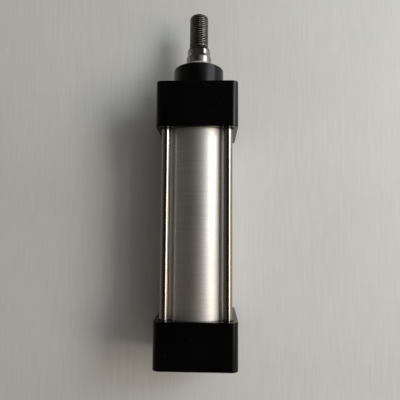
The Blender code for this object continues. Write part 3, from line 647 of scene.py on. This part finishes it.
def make_tie_rods():
    """Polished tie rods, a little thicker where the rolled thread runs into the nuts."""
    end = [(0.0, TIE_END_RADIUS), (0.5, TIE_THREAD_RADIUS), (TIE_THREAD_LENGTH, TIE_THREAD_RADIUS),
           (TIE_THREAD_LENGTH + 0.5, TIE_ROD_RADIUS)]
    profile = solid([(TIE_START + x, radius) for x, radius in end]
                    + [(TIE_END - x, radius) for x, radius in reversed(end)])
    for number, (y, z) in enumerate(corner_centres(), start=1):
        rod = shape_object(f"tie_bar_{number}", turned_mesh("tie_bar", profile, MIDDLE_SIDES))
        rod.data.transform(Matrix.Translation(Vector((0.0, y, z)) * MM))
        present(rod, "chrome", ROOT, f"tie_rod_{number}")


def hexagon(x, radius, angle):
    """Reach of a hexagon whose corners lie at the given radius."""
    turn = angle % (math.pi / 3.0) - math.pi / 6.0
    return radius * math.cos(math.pi / 6.0) / math.cos(turn)


def chamfered_hexagon(x, radius, angle):
    """Reach of the nut's hexagon with its corners turned down to a radius."""
    return min(radius, hexagon(x, NUT_CORNER_RADIUS, angle))


def make_tie_rod_nuts():
    """Long hexagonal nuts sunk in the caps, their mouths threaded."""
    for end_name, front in (("front", True), ("rear", False)):
        for number, (y, z) in enumerate(corner_centres(), start=1):
            name = f"corner_nut_{end_name}_{number}"
            end = NUT_POCKET_DEPTH - GAP
            rings = [
                ring_points(NUT_FACE, NUT_CORNER_RADIUS - 0.45, SMALL_SIDES),
                ring_points(NUT_FACE + 0.12, NUT_CORNER_RADIUS - 0.2, SMALL_SIDES, shape=chamfered_hexagon),
                ring_points(NUT_FACE + 0.4, NUT_CORNER_RADIUS, SMALL_SIDES, shape=hexagon),
                ring_points(end, NUT_CORNER_RADIUS, SMALL_SIDES, shape=hexagon),
                ring_points(end, NUT_BORE_RADIUS, SMALL_SIDES),
                ring_points(NUT_THREAD_END + 0.2, NUT_BORE_RADIUS, SMALL_SIDES),
            ]
            inside = inner_thread_profile(NUT_FACE + 0.5, NUT_THREAD_END, NUT_THREAD_RADIUS, 0.0,
                                          NUT_THREAD_DEPTH, NUT_THREAD_PITCH, SMALL_SIDES)[1:-1]
            rings += list(reversed(inside))
            rings.append(ring_points(NUT_FACE, NUT_THREAD_RADIUS + 0.35, SMALL_SIDES))
            nut = shape_object(name, loft(name, rings, closed=True))
            if front:
                nut.data.transform(TURN_ROUND)
            start = BODY_LENGTH if front else 0.0
            nut.data.transform(Matrix.Translation(Vector((start, y, z)) * MM))
            present(nut, "zinc_steel", ROOT, f"tie_rod_nut_{end_name}_{number}")


# ---------------------------------------------------------------- rod end

def thread_radius(x, radius, angle):
    """Radius of the right-hand rod thread, fading out at the neck and rounded at the tip."""
    start = BODY_LENGTH + THREAD_START
    phase = ((x - start) / THREAD_PITCH - angle / (2.0 * math.pi)) % 1.0
    rise = min(1.0, max(0.0, 1.25 * (1.0 - abs(2.0 * phase - 1.0)) - 0.08))
    fade = min(1.0, max(0.0, (x - start) / THREAD_PITCH))
    into_tip = min(1.0, max(0.0, (x - ROD_END + TIP_ROUND_LENGTH) / TIP_ROUND_LENGTH))
    tip = 1.0 - math.sqrt(1.0 - into_tip ** 2)
    return min(radius - THREAD_DEPTH * (1.0 - rise) * fade, radius - TIP_ROUND_DEPTH * tip)


def make_rod():
    """Piston rod with a soft shoulder, wrench flats and a rolled thread."""
    face = BODY_LENGTH
    start_angle = math.radians(90.0) - FLAT_TURN

    def flats(x, radius, angle):
        if x <= face + SHOULDER_START:
            return radius
        across = abs(math.cos(angle - start_angle))
        return radius if across < 0.5 else min(radius, 0.5 * ACROSS_FLATS / across)

    profile = [(ROD_START, PISTON_SEAT_RADIUS - 0.8), (ROD_START + 0.8, PISTON_SEAT_RADIUS),
               (PISTON_SEAT_END, PISTON_SEAT_RADIUS), (PISTON_SEAT_END, ROD_RADIUS - 0.4),
               (PISTON_SEAT_END + 0.4, ROD_RADIUS), (face + SHOULDER_START - 0.25, ROD_RADIUS)]
    steps = 10
    for index in range(steps + 1):
        share = index / steps
        x = face + SHOULDER_START + share * (NECK_START - SHOULDER_START)
        profile.append((x, ROD_RADIUS - (ROD_RADIUS - NECK_RADIUS) * share ** 1.3))
    profile.append((face + NECK_END, NECK_RADIUS))
    for index in range(1, steps + 1):
        share = index / steps
        x = face + NECK_END + share * (THREAD_START - NECK_END)
        profile.append((x, NECK_RADIUS - (NECK_RADIUS - THREAD_RADIUS) * share ** 1.5))
    rings = [[(profile[0][0], 0.0, 0.0)]]
    rings += [ring_points(x, radius, ROD_SIDES, start_angle, flats) for x, radius in profile]
    taper_start = len(rings) - 1 - steps
    samples = 12
    step = THREAD_PITCH / samples
    count = int((ROD_END - face - THREAD_START) / step)
    for index in range(1, count):
        rings.append(ring_points(face + THREAD_START + index * step, THREAD_RADIUS, ROD_SIDES,
                                 start_angle, thread_radius))
    rings.append(ring_points(ROD_END, THREAD_RADIUS, ROD_SIDES, start_angle, thread_radius))
    rings.append([(ROD_END, 0.0, 0.0)])
    rod = shape_object("rod", loft("rod", rings, closed=False, second_finish_from=taper_start))
    indices = [polygon.material_index for polygon in rod.data.polygons]
    present(rod, "chrome", ROD_BODY, "piston_rod")
    rod.data.materials.append(THREAD_FINISH)
    rod.data.polygons.foreach_set("material_index", indices)


def make_packing():
    """Wiper and seal that stands a little proud of the boss."""
    tip = -BOSS_LENGTH - PACKING_REACH
    inner = PACKING_POCKET_END - GAP
    outer = PACKING_POCKET_START + GAP
    flange = PACKING_POCKET_RADIUS - GAP
    sleeve = PACKING_MOUTH_RADIUS - GAP
    # Round the flange and sleeve, over the tapered lip, and back along the two sealing edges on the rod
    section = [(inner, 9.0), (inner, flange), (outer, flange), (outer, sleeve), (-BOSS_LENGTH - 0.5, sleeve),
               (-BOSS_LENGTH - 0.9, sleeve - 0.15), (tip + 0.5, 9.45), (tip + 0.12, 9.25), (tip, 8.95),
               (tip + 0.05, 8.3), (tip + 0.3, 8.15), (tip + 2.0, 8.6), (-11.0, 8.6), (-7.0, 8.2)]
    profile = [(BODY_LENGTH - x, radius) for x, radius in section]
    item = shape_object("wiper", turned_mesh("wiper", profile, TURNED_SIDES))
    present(item, "pale_polyurethane", ROOT, "rod_packing")


# ---------------------------------------------------------------- needles

def spring_ring_mesh():
    """Flat ring open at one side, swept from a square section."""
    section = [(RING_START, RING_INNER_RADIUS), (RING_START, RING_OUTER_RADIUS),
               (RING_END, RING_OUTER_RADIUS), (RING_END, RING_INNER_RADIUS)]
    steps = 40
    points = []
    for step in range(steps + 1):
        angle = math.radians(RING_GAP_END + (360.0 - 2.0 * RING_GAP_END) * step / steps)
        points += [(x, radius * math.cos(angle), radius * math.sin(angle)) for x, radius in section]
    corners = len(section)
    faces = [tuple(range(corners)), tuple(reversed(range(corners * steps, corners * steps + corners)))]
    for step in range(steps):
        low = corners * step
        high = low + corners
        for corner in range(corners):
            following = (corner + 1) % corners
            faces.append((low + corner, high + corner, high + following, low + following))
    return mesh_from("spring_ring", points, faces)


def make_needle(end_name, front):
    """Slotted cushion needle and the open spring ring that keeps it in."""
    start = BODY_LENGTH - PORT_OFFSET if front else PORT_OFFSET
    place = Matrix.Translation(Vector((start, -HALF_SIDE, NEEDLE_HEIGHT)) * MM) @ SIDE_TURN
    outline = [(0.0, NEEDLE_HEAD_RADIUS - 0.4), (0.12, NEEDLE_HEAD_RADIUS - 0.15), (0.4, NEEDLE_HEAD_RADIUS),
               (1.1, NEEDLE_HEAD_RADIUS), (1.1, NEEDLE_NECK_RADIUS), (2.4, NEEDLE_NECK_RADIUS),
               (2.4, NEEDLE_HEAD_RADIUS), (3.3, NEEDLE_HEAD_RADIUS), (3.3, NEEDLE_SHANK_RADIUS),
               (6.4, NEEDLE_SHANK_RADIUS), (7.4, NEEDLE_POINT_RADIUS), (9.4, NEEDLE_TIP_RADIUS)]
    profile = solid([(NEEDLE_TOP + x, radius) for x, radius in outline])
    item = shape_object(f"{end_name}_needle_screw", turned_mesh("needle", profile, SMALL_SIDES))
    slot = bpy.data.meshes.new("slot")
    body = bmesh.new()
    size = Matrix.Diagonal((2.0 * NEEDLE_SLOT_DEPTH * MM, 3.0 * NEEDLE_HEAD_RADIUS * MM,
                            NEEDLE_SLOT_WIDTH * MM, 1.0))
    bmesh.ops.create_cube(body, size=1.0, matrix=Matrix.Translation((NEEDLE_TOP * MM, 0.0, 0.0)) @ size)
    body.to_mesh(slot)
    body.free()
    combine(item, slot, "DIFFERENCE")
    item.data.transform(place)
    present(item, "brass", f"{end_name}_needle", f"{end_name}_cushion_needle")

    ring = shape_object(f"{end_name}_spring_ring", spring_ring_mesh())
    ring.data.transform(place)
    present(ring, "zinc_steel", ROOT, f"{end_name}_needle_retainer")


def dress_frame_nodes():
    """Give the CAD pieces that stay the finishes of their record slots."""
    for part in frame["record"]["subparts"]:
        item = frame["nodes"][part["node"]]
        for number in range(len(item.material_slots)):
            item.material_slots[number].material = FINISHES[part["material_slot"]]


# ---------------------------------------------------------------- stage, light and camera

# The windows as (name, azimuths, elevations, radiance), in degrees.
# Azimuth 0 is the side with the ports and positive azimuths lie towards the rod end.
WINDOWS = [
    ("window_rear", (-20.0, 7.0), (34.0, 52.0), (8.2, 7.2, 6.0)),
    ("window_front", (7.0, 34.0), (34.0, 52.0), (6.6, 7.2, 7.5)),
    ("window_low", (17.0, 50.0), (8.0, 34.0), (3.0, 3.15, 3.3)),
]
WINDOW_DISTANCE = 0.9
LIT_MIDDLE = (0.09, 0.0, 0.0)
WARM = (1.0, 0.885, 0.775)
COOL = (0.90, 0.98, 1.0)
# Brightness of the room by height of direction, on the windows' side and on the far side
BRIGHT_SIDE = [(0.0, 0.66), (0.57, 0.62), (0.62, 0.45), (0.86, 0.40), (0.94, 0.0)]
DIM_SIDE = [(0.0, 0.17), (0.45, 0.16), (0.80, 0.07), (0.97, 0.0)]
DIM_TINT = (1.0, 0.93, 0.87)
BENCH_REACH = 1.6
CAMERA_PLACE = (79.589, -10.349, 254.63)
CAMERA_TURN = (4.3309, 1.9873, -89.5901)
SENSOR_WIDTH = 36.0
LENS = 35.978


def make_floor():
    """Pale bench under the caps."""
    mesh = bpy.data.meshes.new("bench")
    level = REAR_LOW[2]
    corners = [(x * BENCH_REACH, y * BENCH_REACH, level) for x, y in ((-1, -1), (1, -1), (1, 1), (-1, 1))]
    mesh.from_pydata(corners, [], [(0, 1, 2, 3)])
    item = shape_object("bench", mesh)
    item.data.materials.append(bench())


def window(name, azimuths, elevations, radiance):
    """Rectangular light that fills a span of azimuths and elevations seen from the cylinder."""
    azimuth = math.radians(0.5 * sum(azimuths))
    elevation = math.radians(0.5 * sum(elevations))
    towards = Vector((math.sin(azimuth) * math.cos(elevation), -math.cos(azimuth) * math.cos(elevation),
                      math.sin(elevation)))
    half_width = math.tan(math.radians(0.5 * (azimuths[1] - azimuths[0]))) * math.cos(elevation)
    half_height = math.tan(math.radians(0.5 * (elevations[1] - elevations[0])))
    light = bpy.data.lights.new(name, "AREA")
    light.shape = "RECTANGLE"
    light.size = 2.0 * WINDOW_DISTANCE * half_width
    light.size_y = 2.0 * WINDOW_DISTANCE * half_height
    light.energy = math.pi * light.size * light.size_y * max(radiance)
    light.color = [part / max(radiance) for part in radiance]
    item = bpy.data.objects.new(name, light)
    bpy.context.scene.collection.objects.link(item)
    item.location = Vector(LIT_MIDDLE) + towards * WINDOW_DISTANCE
    item.rotation_euler = (-towards).to_track_quat("-Z", "Y").to_euler()


def brightness_ramp(tree, factor, stops, tint=(1.0, 1.0, 1.0)):
    """Ramp of brightness in one tint."""
    return ramp(tree, factor, [(position, tuple(level * part for part in tint)) for position, level in stops])


def make_light():
    """Soft windows on the port side, cool towards the rod end, in a room dim beyond and dark overhead."""
    world = bpy.data.worlds.new("room")
    world.use_nodes = True
    tree = world.node_tree
    coords = node(tree, "ShaderNodeTexCoord")
    split = node(tree, "ShaderNodeSeparateXYZ")
    tree.links.new(coords.outputs["Generated"], split.inputs["Vector"])
    bright = brightness_ramp(tree, split.outputs["Z"], BRIGHT_SIDE)
    dim = brightness_ramp(tree, split.outputs["Z"], DIM_SIDE, DIM_TINT)
    level = mix_colour(tree, remap(tree, split.outputs["Y"], -0.1, 0.1, 0.0, 1.0), bright, dim)
    tint = ramp(tree, remap(tree, split.outputs["X"], -0.8, 0.8, 0.0, 1.0), [(0.0, WARM), (1.0, COOL)])
    tree.links.new(multiply(tree, level, tint), tree.nodes["Background"].inputs["Color"])
    bpy.context.scene.world = world
    for name, azimuths, elevations, radiance in WINDOWS:
        window(name, azimuths, elevations, radiance)


def make_camera():
    """Camera nearly overhead, with the rod end at the top of the picture."""
    data = bpy.data.cameras.new("camera")
    data.sensor_width = SENSOR_WIDTH
    data.lens = LENS
    data.clip_start = 0.01
    item = bpy.data.objects.new("camera", data)
    bpy.context.scene.collection.objects.link(item)
    item.location = Vector(CAMERA_PLACE) * MM
    item.rotation_euler = Euler([math.radians(angle) for angle in CAMERA_TURN])
    bpy.context.scene.camera = item


make_cap("front_cap", front=True)
make_cap("rear_cap", front=False)
make_port_thread("front", front=True)
make_port_thread("rear", front=False)
make_tube()
make_tie_rods()
make_tie_rod_nuts()
make_rod()
make_packing()
make_needle("front", front=True)
make_needle("rear", front=False)
dress_frame_nodes()
make_floor()
make_light()
make_camera()
bpy.context.scene.view_settings.view_transform = "Standard"
